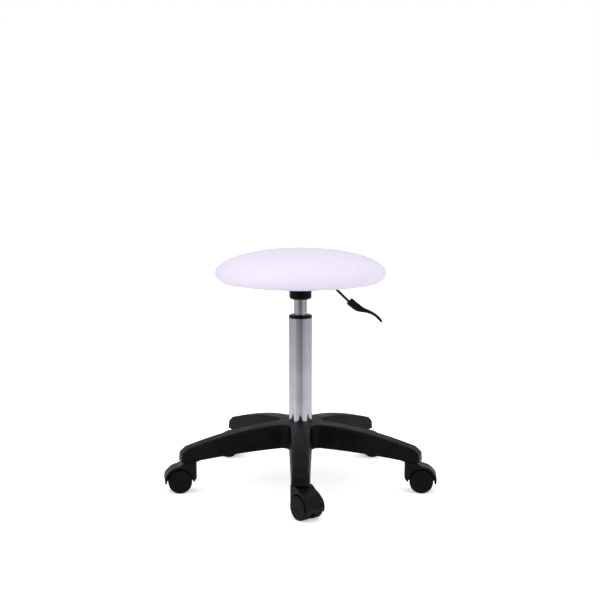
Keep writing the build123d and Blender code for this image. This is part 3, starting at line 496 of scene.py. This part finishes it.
# %% [markdown]
# ### Plywood
# The board is birch plywood: pale and brown plies in turn at its edge, and
# long figure on its faces. A wave along the height gives the plies, and a
# noise stretched along the length gives the figure.

# %% Build the plywood
PLY = 0.0017

plywood, tree, shader = blank_material("birch_plywood")
place = put(tree, "ShaderNodeTexCoord")
height = put(tree, "ShaderNodeSeparateXYZ")
link(tree, place.outputs["Object"], height.inputs[0])
ply_phase = sums(tree, "MULTIPLY", height.outputs["Z"], pi / PLY)
plies = stretch(tree, sums(tree, "SINE", ply_phase, 0.0), -0.3, 0.3)
lay = put(tree, "ShaderNodeMapping")
lay.inputs["Scale"].default_value = (0.05, 1, 1)
link(tree, place.outputs["Object"], lay.inputs["Vector"])
figure = put(tree, "ShaderNodeTexNoise", Scale=160.0, Detail=5.0, Distortion=0.6)
link(tree, lay.outputs["Vector"], figure.inputs["Vector"])
ply_tone = mixed(tree, plies, (0.60, 0.43, 0.26), (0.42, 0.27, 0.14))
fibre = stretch(tree, figure.outputs["Fac"], 0.35, 0.7, 0.0, 0.5)
link(tree, mixed(tree, fibre, ply_tone, (0.33, 0.2, 0.1)), shader.inputs["Base Color"])
link(tree, stretch(tree, figure.outputs["Fac"], 0.3, 0.7, 0.55, 0.75), shader.inputs["Roughness"])
bump_from(tree, shader, figure.outputs["Fac"], 0.25, 0.0005)
FINISHES["plywood"] = plywood
print("birch_plywood", len(tree.nodes), "nodes")

# %% [markdown]
# ### Vinyl
# The seat is covered in a pale lavender vinyl, stretched tight. Its backing
# is knitted and its face is embossed with a very fine hide grain, so it shines
# softly and never as a mirror. Cells from a Voronoi texture make the emboss,
# the grooves between them are painted darker as shade, and a slow noise keeps
# the colour from being dead flat.

# %% Build the vinyl
VINYL_PALE = (0.79, 0.742, 0.865)
VINYL_SHADE = (0.765, 0.715, 0.85)

vinyl, tree, shader = blank_material("lavender_vinyl")
place = put(tree, "ShaderNodeTexCoord")
hide = put(tree, "ShaderNodeTexVoronoi", feature="DISTANCE_TO_EDGE", Scale=620.0)
warp = put(tree, "ShaderNodeTexNoise", Scale=380.0, Detail=2.0)
link(tree, place.outputs["Object"], warp.inputs["Vector"])
bent = put(tree, "ShaderNodeMix", data_type="VECTOR")
bent.inputs["Factor"].default_value = 0.0015
link(tree, place.outputs["Object"], bent.inputs[4])
link(tree, warp.outputs["Color"], bent.inputs[5])
link(tree, bent.outputs[1], hide.inputs["Vector"])
cells = stretch(tree, hide.outputs["Distance"], 0.0, 0.22)
drift = put(tree, "ShaderNodeTexNoise", Scale=9.0, Detail=3.0)
link(tree, place.outputs["Object"], drift.inputs["Vector"])
drifted = stretch(tree, drift.outputs["Fac"], 0.3, 0.7)
tone = mixed(tree, drifted, VINYL_PALE, VINYL_SHADE)
# Painted shade: the grooves between the grain's cells are darkened towards a deep lavender, following
# the same cells that make the bump.
painted_groove_shade = sums(tree, "MULTIPLY", sums(tree, "SUBTRACT", 1.0, cells), 0.06)
link(tree, mixed(tree, painted_groove_shade, tone, (0.5, 0.45, 0.6)), shader.inputs["Base Color"])
link(tree, stretch(tree, drift.outputs["Fac"], 0.3, 0.7, 0.40, 0.47), shader.inputs["Roughness"])
shader.inputs["Specular IOR Level"].default_value = 0.35
bump_from(tree, shader, cells, 0.12, 0.0003)
FINISHES["vinyl"] = vinyl
print("lavender_vinyl", len(tree.nodes), "nodes")

# %% [markdown]
# ## Dress the exact parts
# Each part's finish is named by its slot, so one pass gives every part its
# material. The foam and the cover aren't dressed: the modelled seat stands in
# for both of them.

# %% Give every part its finish
REPLACED = ("seat_cover", "foam_pad")

dressed = 0
for part in frame["record"]["subparts"]:
    if part["node"] in REPLACED:
        continue
    node = frame["nodes"][part["node"]]
    finish = FINISHES[part["material_slot"]]
    if not node.material_slots:
        node.data.materials.append(finish)
    for material_slot in node.material_slots:
        material_slot.material = finish
    dressed += 1
print("dressed", dressed, "parts")

# %% [markdown]
# ## The cushion
# The seat is a foam disc, domed on top, with vinyl pulled over it and rolled
# round the edge of the board. It could be sculpted, or cut from a squashed
# sphere, but its section is what matters, so half of the section is drawn as a
# chain of edges and spun round the column's axis. It starts a little small,
# because the stuffing then swells it.


# %% A helper that draws half a section and spins it
def spun(name, outline, steps):
    """Mesh object turned about the Z axis from (radius, height) points, in metres."""
    bpy.ops.object.select_all(action="DESELECT")
    bpy.ops.mesh.primitive_plane_add(size=0.01, location=(0, 0, 0))
    piece = bpy.context.object
    piece.name = name
    bpy.ops.object.mode_set(mode="EDIT")
    bpy.ops.mesh.select_all(action="SELECT")
    bpy.ops.mesh.merge(type="CENTER")
    here = Vector((outline[0][0], 0, outline[0][1]))
    bpy.ops.transform.translate(value=here)
    for radius, height in outline[1:]:
        there = Vector((radius, 0, height))
        bpy.ops.mesh.extrude_region_move(TRANSFORM_OT_translate={"value": there - here})
        here = there
    bpy.ops.mesh.select_all(action="SELECT")
    bpy.ops.mesh.spin(steps=steps, angle=2 * pi, center=(0, 0, 0), axis=(0, 0, 1))
    bpy.ops.mesh.select_all(action="SELECT")
    bpy.ops.mesh.remove_doubles(threshold=1e-5)
    bpy.ops.mesh.normals_make_consistent(inside=False)
    bpy.ops.object.mode_set(mode="OBJECT")
    return piece


print("section helper ready")

# %% Draw and spin the cushion
cover_low, cover_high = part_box("seat_cover")
board_low, board_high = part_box("seat_board")
SEAT_RADIUS = cover_high.x
SEAT_TOP = cover_high.z
SEAT_BOTTOM = cover_low.z
WAIST = SEAT_BOTTOM + 0.016
DOME_POWER = 2.12
EDGE_ROLL = 0.020
UNSTUFFED = 0.0016
ROLL_GAP = 0.0006


def dome_point(angle):
    """Point on the dome's section, from 0 at the top to a right angle at the waist."""
    radius = (SEAT_RADIUS - UNSTUFFED) * sin(angle) ** (2 / DOME_POWER)
    rise = (SEAT_TOP - WAIST - UNSTUFFED) * cos(angle) ** (2 / DOME_POWER)
    return radius, WAIST + rise


section = [dome_point(radians(90 * step / 18)) for step in range(19)]
lip = WAIST - SEAT_BOTTOM - UNSTUFFED
for angle in (20, 40, 60, 80):
    drop = radians(angle)
    section.append((SEAT_RADIUS - UNSTUFFED - EDGE_ROLL * (1 - cos(drop)), WAIST - lip * sin(drop)))
section.append((board_high.x + ROLL_GAP, SEAT_BOTTOM + UNSTUFFED))
section.append((board_high.x + ROLL_GAP, board_high.z + ROLL_GAP))
section.append((0.0, board_high.z + ROLL_GAP))
blank = spun("cushion_blank", section, 96)
print("cushion section of", len(section), "points,", len(blank.data.vertices), "vertices")

# %% [markdown]
# ### Stuff the cushion
# Foam pushes the cover out until the cover is tight. The blank is remeshed to
# even squares, the faces that lie on the board are pinned, and cloth with
# pressure inside swells the rest. No point may travel further than a few
# millimetres, so the seat keeps its size.

# %% Stuff it by simulation
VOXEL = 0.0055
PINNED_REACH = 0.0025
MOST_SWELL = 0.0028
SIM_FRAMES = 20

bpy.ops.object.select_all(action="DESELECT")
blank.select_set(True)
bpy.context.view_layer.objects.active = blank
bpy.ops.object.duplicate()
cushion = bpy.context.object
cushion.name = "seat_cushion"
cushion.data.remesh_voxel_size = VOXEL
bpy.ops.object.voxel_remesh()
rest = [v.co.copy() for v in cushion.data.vertices]
on_board = [
    v.index
    for v in cushion.data.vertices
    if v.co.z < board_high.z + PINNED_REACH and v.co.xy.length < board_high.x + PINNED_REACH
]
pins = cushion.vertex_groups.new(name="on_board")
pins.add(on_board, 1.0, "REPLACE")
bpy.ops.object.modifier_add(type="CLOTH")
cloth = cushion.modifiers[-1]
cloth.settings.vertex_group_mass = "on_board"
cloth.settings.quality = 5
cloth.settings.tension_stiffness = 20
cloth.settings.compression_stiffness = 20
cloth.settings.use_pressure = True
cloth.settings.uniform_pressure_force = 4
cloth.settings.effector_weights.gravity = 0
cloth.collision_settings.use_collision = False
for number in range(1, SIM_FRAMES + 1):
    bpy.context.scene.frame_set(number)
bpy.ops.object.modifier_apply(modifier=cloth.name)
bpy.context.scene.frame_set(1)
for vertex, start in zip(cushion.data.vertices, rest):
    travel = vertex.co - start
    if travel.length > MOST_SWELL:
        vertex.co = start + travel.normalized() * MOST_SWELL
top_now = max(v.co.z for v in cushion.data.vertices)
print("cushion top", round(top_now * 1000, 1), "mm,", len(rest), "vertices,", len(on_board), "pinned")

# %% [markdown]
# ### Smooth the skin
# Vinyl over foam has no facets. A light smoothing pass evens the remeshed
# squares, and one subdivision finishes the curve. Smoothing also shrinks the
# rolled rim, so the rim is drawn back out a little past the seat's radius and
# down to its lower edge, where it hides the edge of the board. The blank has done its work
# and goes.

# %% Finish the cushion
RIM_PULL = 12  # how strongly the drawing-out keeps to the rim
RIM_SWELL = 0.002  # how far the finished rim stands out past the plain cover

bpy.ops.object.modifier_add(type="SMOOTH")
cushion.modifiers[-1].factor = 0.5
cushion.modifiers[-1].iterations = 6
bpy.ops.object.modifier_apply(modifier=cushion.modifiers[-1].name)
bpy.ops.object.modifier_add(type="SUBSURF")
cushion.modifiers[-1].levels = 1
cushion.modifiers[-1].render_levels = 1
bpy.ops.object.modifier_apply(modifier=cushion.modifiers[-1].name)
bpy.ops.object.shade_smooth()
widest = max(v.co.xy.length for v in cushion.data.vertices)
lowest = min(v.co.z for v in cushion.data.vertices)
for vertex in cushion.data.vertices:
    radius = vertex.co.xy.length
    if radius > 0:
        drawn_out = radius + (SEAT_RADIUS + RIM_SWELL - widest) * (radius / widest) ** RIM_PULL
        vertex.co.xy = vertex.co.xy * (drawn_out / radius)
    if vertex.co.z < WAIST:
        vertex.co.z = WAIST - (WAIST - vertex.co.z) * (WAIST - SEAT_BOTTOM) / (WAIST - lowest)
cushion.data.materials.append(vinyl)
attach(cushion, "seat")
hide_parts(*REPLACED)
bpy.data.objects.remove(blank)
print("cushion", len(cushion.data.polygons), "faces, rim drawn out from", round(widest, 4), "m")

# %% [markdown]
# ## The hem
# Underneath, the vinyl is folded in over the board and stapled. A round edge
# has more cloth than the smaller circle it is pulled to, so the hem gathers
# into little pleats between the staples. A flat ring is spun, every pleat's
# crest is pulled down, and a wall gives it the cloth's thickness.

# %% Spin and gather the hem
HEM_REACH = 0.022
HEM_THICKNESS = 0.0011
PLEATS = 72
PLEAT_DEPTH = 0.0007

hem_top = board_low.z - 0.0002
board_edge = board_high.x
hem_outline = [
    (board_edge - HEM_REACH, hem_top),
    (board_edge - 0.018, hem_top),
    (board_edge - 0.013, hem_top),
    (board_edge - 0.007, hem_top),
    (board_edge - 0.001, hem_top),
    (board_edge + 0.005, hem_top + 0.0008),
]
hem = spun("cover_hem", hem_outline, PLEATS * 4)
bpy.ops.object.mode_set(mode="EDIT")
bpy.ops.mesh.select_all(action="DESELECT")
bpy.ops.object.mode_set(mode="OBJECT")
for vertex in hem.data.vertices:
    radius = vertex.co.xy.length
    angle = Vector((1, 0)).angle_signed(vertex.co.xy)
    crest = round(angle / (2 * pi) * PLEATS * 4) % 4 == 0
    vertex.select = crest and radius < board_edge + 0.002
bpy.ops.object.mode_set(mode="EDIT")
bpy.ops.transform.translate(value=(0, 0, -PLEAT_DEPTH))
bpy.ops.mesh.select_all(action="SELECT")
bpy.ops.mesh.normals_make_consistent(inside=False)
bpy.ops.object.mode_set(mode="OBJECT")
bpy.ops.object.modifier_add(type="SOLIDIFY")
hem.modifiers[-1].thickness = HEM_THICKNESS
hem.modifiers[-1].offset = 0
bpy.ops.object.modifier_apply(modifier=hem.modifiers[-1].name)
for vertex in hem.data.vertices:
    vertex.co.z -= HEM_THICKNESS / 2
bpy.ops.object.shade_smooth_by_angle(angle=radians(50))
hem.data.materials.append(vinyl)
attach(hem, "seat")
print("hem of", PLEATS, "pleats,", len(hem.data.polygons), "faces")
